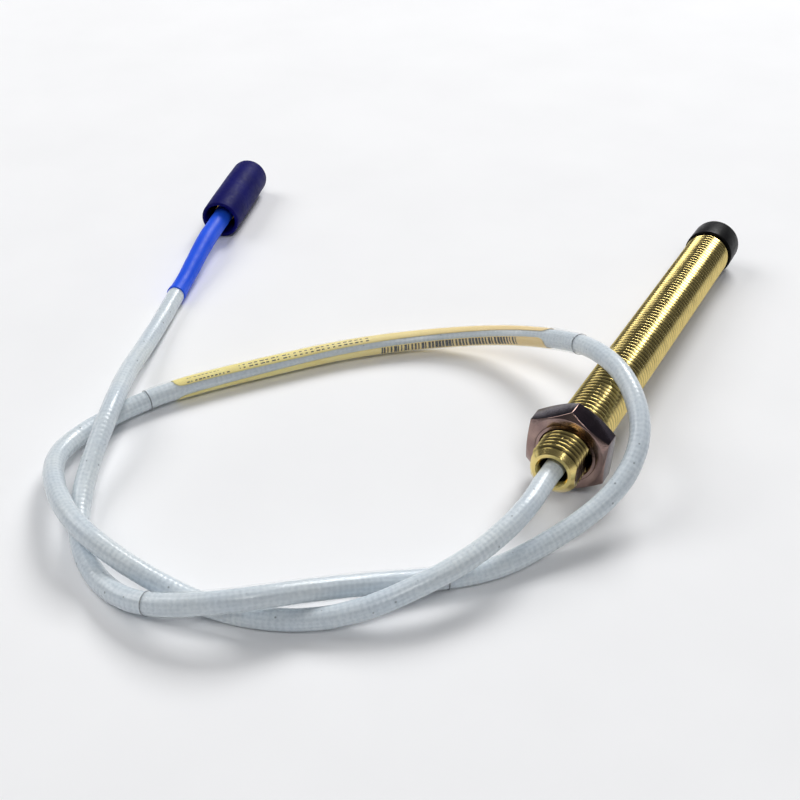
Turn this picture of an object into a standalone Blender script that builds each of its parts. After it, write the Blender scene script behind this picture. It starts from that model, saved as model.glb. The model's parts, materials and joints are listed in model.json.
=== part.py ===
"""Threaded proximity probe with a jam nut, a fixed cable, a cable label and a capped miniature coaxial connector.

Metres, +Z up. The probe lies on the surface z = 0 on its jam nut and its tip cap, with +X along it from the
cable to the sensing tip. The origin is under the middle of the probe.
"""

import math

import bmesh
import bpy
import numpy as np
from mathutils import Matrix, Vector

MM = 0.001

# Case, 3/8-24 UNF thread over its whole length. S_ values are distances from its cable end along its axis.
CASE_LENGTH = 88.9 * MM
THREAD_R = 4.7625 * MM
THREAD_PITCH = 25.4 / 24 * MM
CASE_CHAMFER = 1.2 * MM
TIP_CHAMFER = 0.5 * MM
CASE_BORE_R = 2.5 * MM
MOUTH_R = 2.7 * MM
MOUTH_DEPTH = 0.5 * MM
TIP_SEAT_R = 3.5 * MM
TIP_SEAT_S = 71.0 * MM
FLAT_ACROSS = 8.0 * MM
FLAT_LENGTH = 5.6 * MM

# Jam nut, 9/16 across flats.
NUT_ACROSS = 14.2875 * MM
NUT_THICK = 4.76 * MM
NUT_S = 6.0 * MM
NUT_TURN = math.radians(1.5)
NUT_CHAMFER = math.radians(30)
NUT_LINING_R = 5.5 * MM
NUT_CORNER_R = NUT_ACROSS / 2 / math.cos(math.radians(30))

# Sensing tip and the cap over it.
TIP_R = 4.0 * MM
TIP_OUT = 5.1 * MM
TIP_WALL = 0.8 * MM
TIP_CAVITY_R = 2.8 * MM
CAP_R = 5.15 * MM
CAP_S = 89.25 * MM
CAP_LENGTH = 7.0 * MM
CAP_ROUND = 0.9 * MM

# Cable and what is on it.
CABLE_R = 1.84 * MM
POINT_STEP = 6.0 * MM
LABEL_SPAN = (146 * MM, 225 * MM)
LABEL_SLEEVE_SPAN = (140.5 * MM, 234.5 * MM)
TAG_SLEEVE_SPAN = (307 * MM, 355.5 * MM)
CORD_SIDES = 8
LABEL_SIDES = 6
LABEL_EDGE_AT = math.radians(270)

# Connector, measured from the end of the braided cable along the connector's axis.
CONNECTOR_HEADING = math.radians(16.5)
COAX_R = 1.4 * MM
BOOT_LENGTH = 33.0 * MM
CONNECTOR_CAP_R = 4.4 * MM
CONNECTOR_CAP_LENGTH = 24.0 * MM
MOUTH_S = 29.0 * MM

RUN = 0.05 * MM  # running clearance on a radius
GAP = 0.3 * MM  # between faces that meet
SIDES = 48


def clear_scene():
    for obj in list(bpy.data.objects):
        bpy.data.objects.remove(obj)


def material(name, colour, metallic, roughness):
    found = bpy.data.materials.get(name) or bpy.data.materials.new(name)
    found.use_nodes = True
    shader = found.node_tree.nodes["Principled BSDF"]
    shader.inputs["Base Color"].default_value = (*colour, 1)
    shader.inputs["Metallic"].default_value = metallic
    shader.inputs["Roughness"].default_value = roughness
    return found


def brass():
    return material("gold toned steel", (0.62, 0.50, 0.20), 1.0, 0.25)


def steel():
    return material("stainless steel", (0.55, 0.53, 0.52), 1.0, 0.3)


def gold_plate():
    return material("gold plated brass", (0.85, 0.62, 0.24), 1.0, 0.25)


def copper():
    return material("copper wire", (0.72, 0.33, 0.18), 1.0, 0.35)


def tip_plastic():
    return material("polyphenylene sulfide", (0.55, 0.45, 0.30), 0.0, 0.45)


def white_insulator():
    return material("white fluoropolymer", (0.86, 0.86, 0.84), 0.0, 0.4)


def potting_resin():
    return material("potting epoxy", (0.06, 0.05, 0.05), 0.0, 0.35)


def black_vinyl():
    return material("black vinyl", (0.012, 0.012, 0.012), 0.0, 0.45)


def cable_jacket():
    return material("braided cable under clear jacket", (0.60, 0.67, 0.73), 0.0, 0.35)


def clear_sleeve():
    return material("clear shrink sleeve", (0.72, 0.76, 0.80), 0.0, 0.15)


def label_film():
    return material("yellow label film", (0.80, 0.62, 0.16), 0.0, 0.5)


def blue_sleeve():
    return material("blue shrink sleeve", (0.012, 0.10, 0.75), 0.0, 0.4)


def navy_rubber():
    return material("navy rubber", (0.0, 0.0, 0.07), 0.0, 0.5)


def add_object(name, data, finish, parent=None):
    obj = bpy.data.objects.new(name, data)
    bpy.context.scene.collection.objects.link(obj)
    if finish:
        data.materials.append(finish)
    obj.parent = parent
    return obj


def add_empty(name, matrix, parent=None):
    empty = add_object(name, None, None, parent)
    empty.matrix_local = matrix
    return empty


def shade(obj):
    obj.data.shade_smooth()
    obj.data.set_sharp_from_angle(angle=math.radians(35))


def turned(name, outline, finish, parent, sides=SIDES):
    """A turned piece: outline holds (distance along the local X axis, radius), once round the section."""
    bm = bmesh.new()
    corners = [bm.verts.new((s, 0, r)) for s, r in outline]
    ring = corners if outline[0][1] == 0 and outline[-1][1] == 0 else [*corners, corners[0]]
    edges = [bm.edges.new(pair) for pair in zip(ring, ring[1:])]
    bmesh.ops.spin(
        bm,
        geom=corners + edges,
        cent=(0, 0, 0),
        axis=(1, 0, 0),
        angle=math.tau,
        steps=sides,
        use_merge=True,
    )
    bmesh.ops.remove_doubles(bm, verts=bm.verts, dist=1e-6)
    bmesh.ops.recalc_face_normals(bm, faces=bm.faces)
    mesh = bpy.data.meshes.new(name)
    bm.to_mesh(mesh)
    bm.free()
    obj = add_object(name, mesh, finish, parent)
    shade(obj)
    return obj


def rod(name, start, end, radius, finish, parent, sides=24):
    return turned(name, [(start, 0), (start, radius), (end, radius), (end, 0)], finish, parent, sides)


def tube(name, start, end, outer, inner, finish, parent, sides=32):
    outline = [(start, inner), (start, outer), (end, outer), (end, inner)]
    return turned(name, outline, finish, parent, sides)


def cutter(name, size, place, parent):
    bm = bmesh.new()
    bmesh.ops.create_cube(bm, size=1)
    bmesh.ops.scale(bm, vec=size, verts=bm.verts)
    bmesh.ops.translate(bm, vec=place, verts=bm.verts)
    mesh = bpy.data.meshes.new(name)
    bm.to_mesh(mesh)
    bm.free()
    obj = add_object(name, mesh, None, parent)
    hide_helper(obj)
    return obj


def hide_helper(obj):
    obj.hide_render = True
    obj.display_type = "WIRE"


def boolean(obj, operation, other):
    modifier = obj.modifiers.new(other.name, "BOOLEAN")
    modifier.operation = operation
    modifier.object = other
    modifier.solver = "EXACT"


# The probe's axis falls from the cable end to the tip, because the nut is wider than the tip cap.
def probe_matrix():
    nut_drop = NUT_CORNER_R * math.cos(NUT_TURN)
    nut_rest = NUT_S + NUT_THICK - (NUT_CORNER_R - NUT_ACROSS / 2) * math.tan(NUT_CHAMFER)
    cap_rest = CAP_S + CAP_LENGTH - CAP_ROUND
    tilt = math.asin((nut_drop - CAP_R) / (cap_rest - nut_rest))
    height = nut_drop * math.cos(tilt) + nut_rest * math.sin(tilt)
    rear = FLAT_ACROSS / 2 * math.sin(tilt)
    front = (CAP_S + CAP_LENGTH) * math.cos(tilt) + (CAP_R - CAP_ROUND) * math.sin(tilt)
    return Matrix.Translation(((rear - front) / 2, 0, height)) @ Matrix.Rotation(tilt, 4, "Y")


def make_case(probe):
    end = CASE_LENGTH
    case = turned(
        "probe_case",
        [
            (0, MOUTH_R),
            (0, THREAD_R - CASE_CHAMFER),
            (CASE_CHAMFER, THREAD_R),
            (end - TIP_CHAMFER, THREAD_R),
            (end, THREAD_R - TIP_CHAMFER),
            (end, TIP_SEAT_R),
            (TIP_SEAT_S, TIP_SEAT_R),
            (TIP_SEAT_S, CASE_BORE_R),
            (MOUTH_DEPTH, CASE_BORE_R),
        ],
        brass(),
        probe,
    )
    depth = 2 * MM
    for name, side in (("wrench_cut_right", -1), ("wrench_cut_left", 1)):
        place = (FLAT_LENGTH / 2 - depth / 2, side * (FLAT_ACROSS + depth) / 2, 0)
        boolean(case, "DIFFERENCE", cutter(name, (FLAT_LENGTH + depth, depth, 4 * THREAD_R), place, probe))


def make_nut(probe):
    """The hexagon turns on its threaded lining, which slides along the case: together they are one screwed nut."""
    lining = add_empty("nut_axis", Matrix.Translation((NUT_S, 0, 0)), probe)
    inset = 0.35 * MM
    tube(
        "jam_nut_thread",
        inset,
        NUT_THICK - inset,
        NUT_LINING_R - 2 * RUN,
        THREAD_R + 2 * RUN,
        steel(),
        lining,
        SIDES,
    )
    bm = bmesh.new()
    bmesh.ops.create_cone(
        bm,
        segments=6,
        cap_ends=True,
        radius1=NUT_CORNER_R,
        radius2=NUT_CORNER_R,
        depth=NUT_THICK,
        matrix=Matrix.Translation((NUT_THICK / 2, 0, 0)) @ Matrix.Rotation(math.pi / 2, 4, "Y"),
    )
    # The cone's corners start on its Y axis, so a quarter turn points one up and one down.
    turn = Matrix.Rotation(math.pi / 2 + NUT_TURN, 3, "X")
    bmesh.ops.rotate(bm, cent=(0, 0, 0), matrix=turn, verts=bm.verts)
    mesh = bpy.data.meshes.new("jam_nut")
    bm.to_mesh(mesh)
    bm.free()
    nut = add_object("jam_nut", mesh, steel(), lining)
    crown_r = NUT_ACROSS / 2 - 0.25 * MM
    rise = (NUT_CORNER_R + 1 * MM - crown_r) * math.tan(NUT_CHAMFER)
    envelope = turned(
        "nut_crown",
        [
            (0, NUT_LINING_R),
            (0, crown_r),
            (rise, NUT_CORNER_R + 1 * MM),
            (NUT_THICK - rise, NUT_CORNER_R + 1 * MM),
            (NUT_THICK, crown_r),
            (NUT_THICK, NUT_LINING_R),
        ],
        None,
        lining,
    )
    hide_helper(envelope)
    boolean(nut, "INTERSECT", envelope)


def make_tip(probe):
    shoulder = CASE_LENGTH + GAP
    front = CASE_LENGTH + TIP_OUT
    shank_start = TIP_SEAT_S + 2 * MM
    turned(
        "sensing_tip",
        [
            (front, 0),
            (front, TIP_R - 0.4 * MM),
            (front - 0.4 * MM, TIP_R),
            (shoulder, TIP_R),
            (shoulder, TIP_SEAT_R - 0.1 * MM),
            (shank_start, TIP_SEAT_R - 0.1 * MM),
            (shank_start, TIP_CAVITY_R),
            (front - TIP_WALL, TIP_CAVITY_R),
            (front - TIP_WALL, 0),
        ],
        tip_plastic(),
        probe,
    )
    spool_end = front - TIP_WALL - GAP
    spool_start = spool_end - 3.2 * MM
    flange = 0.4 * MM
    flange_r = TIP_CAVITY_R - 0.2 * MM
    core_r = 1.0 * MM
    stem_start = spool_start - 3.5 * MM
    turned(
        "coil_former",
        [
            (stem_start, 0),
            (stem_start, 1.6 * MM),
            (spool_start - flange, 1.6 * MM),
            (spool_start - flange, flange_r),
            (spool_start, flange_r),
            (spool_start, core_r),
            (spool_end - flange, core_r),
            (spool_end - flange, flange_r),
            (spool_end, flange_r),
            (spool_end, 0),
        ],
        white_insulator(),
        probe,
        32,
    )
    clear = 0.1 * MM
    tube(
        "sensing_coil",
        spool_start + clear,
        spool_end - flange - clear,
        flange_r - clear,
        core_r + clear,
        copper(),
        probe,
    )
    make_inner_cable(probe, stem_start - GAP)
    # A soft cap pushed over the tip, closed at its front.
    cap = add_empty("tip_cap_axis", Matrix.Translation((CAP_S, 0, 0)), probe)
    inner_r = TIP_R + 2 * RUN
    inner_end = front - CAP_S + 2 * RUN
    arc = [math.radians(a) for a in (90, 60, 30, 0)]
    corner = [
        (CAP_LENGTH - CAP_ROUND + CAP_ROUND * math.cos(a), CAP_R - CAP_ROUND + CAP_ROUND * math.sin(a))
        for a in arc
    ]
    turned(
        "tip_cap",
        [(inner_end, 0), (inner_end, inner_r), (0, inner_r), (0, CAP_R), *corner, (CAP_LENGTH, 0)],
        black_vinyl(),
        cap,
    )


def make_inner_cable(probe, core_end):
    """The cable's end inside the case, stripped in steps, crimped, and potted up to the coil."""
    jacket_end = 30 * MM
    braid_end = 40 * MM
    dielectric_end = 58 * MM
    braid_r = 1.4 * MM
    dielectric_r = 0.95 * MM
    core_r = 0.3 * MM
    rod("cable_in_case", 0.5 * MM, jacket_end, CABLE_R, cable_jacket(), probe)
    tube("crimp_ferrule", 22 * MM, jacket_end, CASE_BORE_R - 0.1 * MM, CABLE_R + 0.1 * MM, steel(), probe)
    rod("shield_braid_end", jacket_end + GAP, braid_end, braid_r, steel(), probe, 20)
    rod("dielectric_end", braid_end + GAP, dielectric_end, dielectric_r, white_insulator(), probe, 20)
    rod("core_wire_end", dielectric_end + GAP, core_end, core_r, copper(), probe, 16)
    tube(
        "potting_plug",
        dielectric_end + 2 * MM,
        core_end - 1 * MM,
        CASE_BORE_R - 0.1 * MM,
        core_r + 0.1 * MM,
        potting_resin(),
        probe,
    )


# The cable's route in millimetres, from the case to the connector.
# It loops round twice: each strand crosses the other in low humps, and the labelled one climbs over the case.
CABLE_ROUTE = (
    (-58.5, 0.0, 8.9),
    (-70.0, 3.0, 7.5),
    (-80.0, 9.0, 5.6),
    (-88.0, 17.5, 2.9),
    (-93.5, 28.5, 1.9),
    (-95.5, 40.0, 2.2),
    (-96.0, 52.0, 4.8),
    (-94.0, 63.0, 6.5),
    (-87.5, 73.5, 5.3),
    (-78.0, 81.0, 3.1),
    (-67.0, 81.0, 2.3),
    (-56.0, 77.0, 2.3),
    (-46.0, 70.5, 2.3),
    (-36.5, 63.0, 2.3),
    (-27.0, 55.0, 2.3),
    (-18.5, 46.0, 2.4),
    (-12.5, 36.5, 3.2),
    (-10.0, 25.5, 5.7),
    (-12.5, 14.0, 9.9),
    (-18.5, 4.5, 14.2),
    (-26.5, -4.5, 15.5),
    (-36.5, -10.9, 12.2),
    (-47.0, -10.3, 7.2),
    (-57.5, -4.5, 3.2),
    (-67.5, 2.0, 2.0),
    (-75.5, 11.0, 2.3),
    (-83.0, 19.0, 3.9),
    (-92.0, 26.5, 6.4),
    (-99.0, 36.5, 5.9),
    (-101.0, 48.0, 3.3),
    (-97.0, 59.0, 2.0),
    (-88.5, 68.0, 2.3),
    (-78.0, 73.5, 4.8),
    (-68.0, 77.5, 6.7),
    (-57.0, 83.0, 5.5),
    (-46.0, 88.0, 3.2),
    (-35.0, 92.2, 2.1),
    (-24.0, 96.0, 2.2),
)


def smooth_curve(knots, step):
    """A natural cubic spline through the knots, read at even steps along it."""
    knots = np.array(knots)
    spans = np.sqrt(np.linalg.norm(np.diff(knots, axis=0), axis=1))
    count = len(knots)
    system = np.eye(count)
    right = np.zeros_like(knots)
    slopes = np.diff(knots, axis=0) / spans[:, None]
    for i in range(1, count - 1):
        system[i, i - 1 : i + 2] = spans[i - 1], 2 * (spans[i - 1] + spans[i]), spans[i]
        right[i] = 6 * (slopes[i] - slopes[i - 1])
    bend = np.linalg.solve(system, right)
    fine = []
    for i, span in enumerate(spans):
        for t in np.linspace(0, span, 40, endpoint=i == count - 2):
            a = (span - t) / span
            b = t / span
            curl = (a**3 - a) * bend[i] + (b**3 - b) * bend[i + 1]
            fine.append(a * knots[i] + b * knots[i + 1] + curl * span**2 / 6)
    fine = np.array(fine)
    along = np.concatenate([[0], np.cumsum(np.linalg.norm(np.diff(fine, axis=0), axis=1))])
    marks = np.linspace(0, along[-1], round(along[-1] / step) + 1)
    return np.stack([np.interp(marks, along, fine[:, k]) for k in range(3)], axis=1)


def stretch(points, start, end):
    """The part of a polyline between two distances along it."""
    along = np.concatenate([[0], np.cumsum(np.linalg.norm(np.diff(points, axis=0), axis=1))])
    marks = [start, *(d for d in along if start + MM < d < end - MM), end]
    return np.stack([np.interp(marks, along, points[:, k]) for k in range(3)], axis=1)


def cord(name, points, radius, finish, wall=0.0, profile=None):
    """A round cord along the points, or a sleeve when it has a wall."""
    curve = bpy.data.curves.new(name, "CURVE")
    curve.dimensions = "3D"
    curve.twist_mode = "Z_UP"
    spline = curve.splines.new("POLY")
    spline.points.add(len(points) - 1)
    for spot, place in zip(spline.points, points):
        spot.co = (*place, 1)
    spline.use_smooth = True
    curve.bevel_resolution = CORD_SIDES // 4
    curve.use_fill_caps = not wall
    if profile:
        curve.bevel_mode = "OBJECT"
        curve.bevel_object = profile
    else:
        curve.bevel_depth = radius
    obj = add_object(name, curve, finish)
    if wall:
        solidify = obj.modifiers.new("wall", "SOLIDIFY")
        solidify.thickness = wall
        solidify.offset = -1
    return obj


def label_profile(radius):
    """An open arc with its corners where a cord has its own: the label wraps the cable but leaves a seam."""
    curve = bpy.data.curves.new("label_section", "CURVE")
    curve.dimensions = "2D"
    spline = curve.splines.new("POLY")
    spline.points.add(LABEL_SIDES)
    for i, spot in enumerate(spline.points):
        angle = LABEL_EDGE_AT - math.tau * i / CORD_SIDES
        spot.co = (radius * math.cos(angle), radius * math.sin(angle), 0, 1)
    obj = add_object("label_section", curve, None)
    hide_helper(obj)
    return obj


def make_cable(probe_place):
    exit_point = probe_place @ Vector((0, 0, 0))
    straight = probe_place @ Vector((-4 * MM, 0, 0))
    knots = [np.array(exit_point), np.array(straight), *(np.array(p) * MM for p in CABLE_ROUTE)]
    points = smooth_curve(knots, POINT_STEP)
    cord("cable", points, CABLE_R, cable_jacket())
    label_r = CABLE_R + 0.14 * MM
    section = label_profile(label_r)
    cord("label_wrap", stretch(points, *LABEL_SPAN), label_r, label_film(), 0.06 * MM, section)
    sleeve_wall = 0.14 * MM
    label_sleeve_r = label_r + 0.08 * MM + sleeve_wall
    cord("label_sleeve", stretch(points, *LABEL_SLEEVE_SPAN), label_sleeve_r, clear_sleeve(), sleeve_wall)
    tag_r = CABLE_R + 0.08 * MM + sleeve_wall
    cord("tag_sleeve", stretch(points, *TAG_SLEEVE_SPAN), tag_r, clear_sleeve(), sleeve_wall)
    return points[-1]


def make_connector(cable_end):
    """A miniature coaxial plug under a push-on cap, lying on the surface on its cap."""
    heading = Vector((math.cos(CONNECTOR_HEADING), math.sin(CONNECTOR_HEADING), 0))
    start = Vector(cable_end)
    axis_height = CONNECTOR_CAP_R + RUN
    level = 22 * MM  # where the sleeve has climbed to the plug's axis
    path = []
    for i in range(9):
        t = BOOT_LENGTH * i / 8
        rise = min(t / level, 1)
        ease = rise * rise * (3 - 2 * rise)
        place = start + heading * (GAP + t)
        place.z = start.z + (axis_height - start.z) * ease
        path.append(place)
    wall = 0.5 * MM
    cord("connector_boot", path, COAX_R + RUN + wall, blue_sleeve(), wall)
    tail_path = [*path, path[-1] + heading * 5 * MM]
    cord("coax_tail", tail_path, COAX_R - RUN, white_insulator())
    place = start + heading * GAP
    place.z = axis_height
    plug = add_empty(
        "plug_axis", Matrix.Translation(place) @ Matrix.Rotation(CONNECTOR_HEADING, 4, "Z")
    )
    ferrule_end = 38.5 * MM
    tube("plug_ferrule", BOOT_LENGTH + GAP, ferrule_end, 2.3 * MM, COAX_R + 2 * RUN, gold_plate(), plug)
    body_start = ferrule_end + GAP
    body_end = 48.6 * MM
    collar_end = body_start + 1.6 * MM
    body_bore = 1.7 * MM
    barrel_r = 2.3 * MM
    turned(
        "plug_body",
        [
            (body_start, body_bore),
            (body_start, 3.0 * MM),
            (collar_end, 3.0 * MM),
            (collar_end, barrel_r),
            (body_end, barrel_r),
            (body_end, body_bore),
        ],
        gold_plate(),
        plug,
        32,
    )
    pin_r = 0.3 * MM
    tube(
        "plug_insulator",
        body_start + 1 * MM,
        body_end - 2.5 * MM,
        body_bore - RUN,
        pin_r + RUN,
        white_insulator(),
        plug,
        24,
    )
    rod("plug_pin", body_start + 0.5 * MM, body_end - 0.6 * MM, pin_r, gold_plate(), plug, 16)
    nut_start = collar_end + GAP
    nut_end = body_end + 1.2 * MM
    nut_bore = 2.75 * MM
    ring_at = nut_start + 2.0 * MM
    tube("plug_snap_ring", ring_at, ring_at + 0.5 * MM, nut_bore - 0.1 * MM, barrel_r + RUN, steel(), plug)
    spinning = add_empty("coupling_nut_axis", Matrix.Translation((nut_start, 0, 0)), plug)
    tube(
        "plug_coupling_nut",
        0,
        nut_end - nut_start,
        3.45 * MM,
        nut_bore,
        gold_plate(),
        spinning,
        24,
    )
    cap_place = add_empty("plug_cap_axis", Matrix.Translation((MOUTH_S, 0, 0)), plug)
    round_r = 0.8 * MM
    cap_inner = 3.6 * MM
    floor = 1.0 * MM
    length = CONNECTOR_CAP_LENGTH
    corner = [
        (
            length - round_r + round_r * math.cos(math.radians(a)),
            CONNECTOR_CAP_R - round_r + round_r * math.sin(math.radians(a)),
        )
        for a in (90, 60, 30, 0)
    ]
    turned(
        "plug_cap",
        [
            (length - floor, 0),
            (length - floor, cap_inner),
            (0, cap_inner),
            (0, CONNECTOR_CAP_R - 0.2 * MM),
            (0.2 * MM, CONNECTOR_CAP_R),
            *corner,
            (length, 0),
        ],
        navy_rubber(),
        cap_place,
    )


def main():
    clear_scene()
    probe_place = probe_matrix()
    probe = add_empty("probe_axis", probe_place)
    make_case(probe)
    make_nut(probe)
    make_tip(probe)
    cable_end = make_cable(probe_place)
    make_connector(cable_end)


main()
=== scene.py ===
import json
import math

import bmesh
import bpy
import numpy as np
from mathutils import Matrix, Vector, noise


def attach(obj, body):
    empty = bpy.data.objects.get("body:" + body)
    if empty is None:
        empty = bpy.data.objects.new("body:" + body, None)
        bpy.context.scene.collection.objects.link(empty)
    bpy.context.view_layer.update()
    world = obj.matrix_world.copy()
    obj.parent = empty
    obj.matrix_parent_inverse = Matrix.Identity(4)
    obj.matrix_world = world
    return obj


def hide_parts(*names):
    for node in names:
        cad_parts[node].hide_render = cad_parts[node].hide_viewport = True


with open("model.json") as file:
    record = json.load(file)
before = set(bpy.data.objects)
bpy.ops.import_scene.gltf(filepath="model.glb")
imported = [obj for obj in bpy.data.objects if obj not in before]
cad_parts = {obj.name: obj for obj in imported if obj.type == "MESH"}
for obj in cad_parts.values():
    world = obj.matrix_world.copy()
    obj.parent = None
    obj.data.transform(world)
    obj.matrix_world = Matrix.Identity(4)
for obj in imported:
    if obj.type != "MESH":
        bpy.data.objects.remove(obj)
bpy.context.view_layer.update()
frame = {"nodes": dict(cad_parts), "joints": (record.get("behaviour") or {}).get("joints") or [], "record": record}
nodes = frame["nodes"]
mm = 0.001
collection = bpy.context.scene.collection

# the camera looks down over the cable end, along the probe
camera = {"place": (-0.1976, -0.0521, 0.1405), "turn": (53.24, 0, -61.61), "lens": 55.03, "near": 0.01}
cameraData = bpy.data.cameras.new("studioCamera")
cameraData.lens = camera["lens"]
cameraData.clip_start = camera["near"]
cameraObject = bpy.data.objects.new("studioCamera", cameraData)
cameraObject.location = camera["place"]
cameraObject.rotation_euler = [math.radians(a) for a in camera["turn"]]
collection.objects.link(cameraObject)
bpy.context.scene.camera = cameraObject
bpy.context.scene.view_settings.view_transform = "Standard"
print("camera ready")


# helpers for finishes
def linear(code):  # sRGB hex to linear
    channels = [int(code[i : i + 2], 16) / 255 for i in (1, 3, 5)]
    return (*(c / 12.92 if c <= 0.04045 else ((c + 0.055) / 1.055) ** 2.4 for c in channels), 1)


def addNode(tree, kind, sockets=None, **settings):  # a socket takes a value or another node's output
    made = tree.nodes.new("ShaderNode" + kind)
    for name, value in settings.items():
        setattr(made, name, value)
    for name, value in (sockets or {}).items():
        if isinstance(value, bpy.types.NodeSocket):
            tree.links.new(value, made.inputs[name])
        else:
            made.inputs[name].default_value = value
    return made


def newFinish(name, sockets):
    finish = bpy.data.materials.new(name)
    finish.use_nodes = True
    shader = finish.node_tree.nodes["Principled BSDF"]
    for socket, value in sockets.items():
        shader.inputs[socket].default_value = value
    return finish, finish.node_tree, shader


def calc(tree, operation, *values):
    return addNode(tree, "Math", dict(enumerate(values)), operation=operation).outputs[0]


def spread(tree, value, low, high, toLow, toHigh):  # a value between low and high, as one between the others
    sockets = {"Value": value, "From Min": low, "From Max": high, "To Min": toLow, "To Max": toHigh}
    return addNode(tree, "MapRange", sockets).outputs[0]


def grain(tree, vector, sizeMm, toLow, toHigh, detail=3):  # soft mottling of about that size
    made = addNode(tree, "TexNoise", {"Vector": vector, "Scale": 1 / (sizeMm * mm), "Detail": detail})
    return spread(tree, made.outputs["Fac"], 0.3, 0.7, toLow, toHigh)


def twoTone(tree, factor, first, second):
    sockets = {0: factor, 6: linear(first), 7: linear(second)}
    return addNode(tree, "Mix", sockets, data_type="RGBA").outputs[2]


def bump(tree, shader, height, depthMm):
    made = addNode(tree, "Bump", {"Height": height, "Distance": depthMm * mm})
    tree.links.new(made.outputs[0], shader.inputs["Normal"])


def objectPlace(tree):
    return addNode(tree, "TexCoord").outputs["Object"]


# helpers for shapes
def placeOn(joint, back):  # x along that joint's axis, from a point so far behind the joint's own
    facts = next(j for j in frame["joints"] if j["name"] == joint)
    along = Vector(facts["axis"]).normalized()
    side = Vector((0, 0, 1)).cross(along).normalized()
    matrix = Matrix((along, side, along.cross(side))).transposed().to_4x4()
    matrix.translation = Vector(facts["pos_m"]) - along * back
    return matrix


def meshOf(bm, name, place):
    bmesh.ops.transform(bm, matrix=place, verts=bm.verts)
    mesh = bpy.data.meshes.new(name)
    bm.to_mesh(mesh)
    bm.free()
    return mesh


def piece(name, mesh, finish, body, slot, *replaced, sharp=38):
    mesh.materials.clear()
    mesh.materials.append(finish)
    mesh.shade_smooth()
    mesh.set_sharp_from_angle(angle=math.radians(sharp))
    obj = bpy.data.objects.new(name, mesh)
    collection.objects.link(obj)
    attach(obj, body)
    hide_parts(*replaced)
    return obj


def spunShape(outline, steps, closed=False):  # outline: distance along, radius, and a rounding there, in mm
    bm = bmesh.new()
    corners = [bm.verts.new((s, 0, r)) for s, r, *_ in outline]
    pairs = list(zip(corners, corners[1:])) + ([(corners[-1], corners[0])] if closed else [])
    for pair in pairs:
        bm.edges.new(pair)
    for corner, (_, _, *rounding) in zip(corners, outline):
        if rounding:
            settings = {"segments": 5, "profile": 0.5, "affect": "VERTICES", "material": -1}
            bmesh.ops.bevel(bm, geom=[corner], offset=rounding[0], **settings)
    section = bm.verts[:] + bm.edges[:]
    axis = {"cent": (0, 0, 0), "axis": (1, 0, 0)}
    bmesh.ops.spin(bm, geom=section, **axis, angle=math.tau, steps=steps, use_merge=True)
    bmesh.ops.remove_doubles(bm, verts=bm.verts, dist=1e-4)
    bmesh.ops.recalc_face_normals(bm, faces=bm.faces)
    bmesh.ops.scale(bm, vec=(mm, mm, mm), verts=bm.verts)
    return bm


def cutMesh(bm, *steps, bevel=None):  # each step is an operation and the bmesh it uses
    made = []

    def hold(shape):
        mesh = bpy.data.meshes.new("cut")
        shape.to_mesh(mesh)
        shape.free()
        obj = bpy.data.objects.new("cut", mesh)
        collection.objects.link(obj)
        made.append(obj)
        return obj

    main = hold(bm)
    for operation, shape in steps:
        modifier = main.modifiers.new("cut", "BOOLEAN")
        modifier.operation = operation
        modifier.solver = "MANIFOLD"
        modifier.object = hold(shape)
    if bevel:
        modifier = main.modifiers.new("edges", "BEVEL")
        modifier.width = bevel * mm
        modifier.segments = 2
        modifier.limit_method = "ANGLE"
        modifier.angle_limit = math.radians(25)
    cut = bpy.data.meshes.new_from_object(main.evaluated_get(bpy.context.evaluated_depsgraph_get()))
    for obj in made:
        bpy.data.objects.remove(obj)
    result = bmesh.new()
    result.from_mesh(cut)
    return result


# the cable from the case to the connector, in mm
cable = {
    "radius": 1.84,
    "sunk": 0.45,  # how deep it starts in the case's mouth
    "straight": 4,  # and how far it runs out straight
    "step": 0.25,
    "sides": 40,
    "rib": 0.95,  # the braid shows through as ripples along the cable
    "lobes": 8,  # and round it
    "ripple": 0.016,
    "lump": 0.05,
    "lumpSize": 3.2,
    "strand": 2.0,  # pitch of the drawn braid, coarser than the real one so that it shows
    "carriers": 8,
}
cableRoute = (  # two loops that cross in low humps, the second over the case, in metres
    (-0.0585, 0.0, 0.0089),
    (-0.0700, 0.0030, 0.0075),
    (-0.0800, 0.0090, 0.0056),
    (-0.0880, 0.0175, 0.0029),
    (-0.0935, 0.0285, 0.0019),
    (-0.0955, 0.0400, 0.0022),
    (-0.0960, 0.0520, 0.0048),
    (-0.0940, 0.0630, 0.0065),
    (-0.0875, 0.0735, 0.0053),
    (-0.0780, 0.0810, 0.0031),
    (-0.0670, 0.0810, 0.0023),
    (-0.0560, 0.0770, 0.0023),
    (-0.0460, 0.0705, 0.0023),
    (-0.0365, 0.0630, 0.0023),
    (-0.0270, 0.0550, 0.0023),
    (-0.0185, 0.0460, 0.0024),
    (-0.0125, 0.0365, 0.0032),
    (-0.0100, 0.0255, 0.0057),
    (-0.0125, 0.0140, 0.0099),
    (-0.0185, 0.0045, 0.0142),
    (-0.0265, -0.0045, 0.0155),
    (-0.0365, -0.0109, 0.0122),
    (-0.0470, -0.0103, 0.0072),
    (-0.0575, -0.0045, 0.0032),
    (-0.0675, 0.0020, 0.0020),
    (-0.0755, 0.0110, 0.0023),
    (-0.0830, 0.0190, 0.0039),
    (-0.0920, 0.0265, 0.0064),
    (-0.0990, 0.0365, 0.0059),
    (-0.1010, 0.0480, 0.0033),
    (-0.0970, 0.0590, 0.0020),
    (-0.0885, 0.0680, 0.0023),
    (-0.0780, 0.0735, 0.0048),
    (-0.0680, 0.0775, 0.0067),
    (-0.0570, 0.0830, 0.0055),
    (-0.0460, 0.0880, 0.0032),
    (-0.0350, 0.0922, 0.0021),
    (-0.0240, 0.0960, 0.0022),
)
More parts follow.
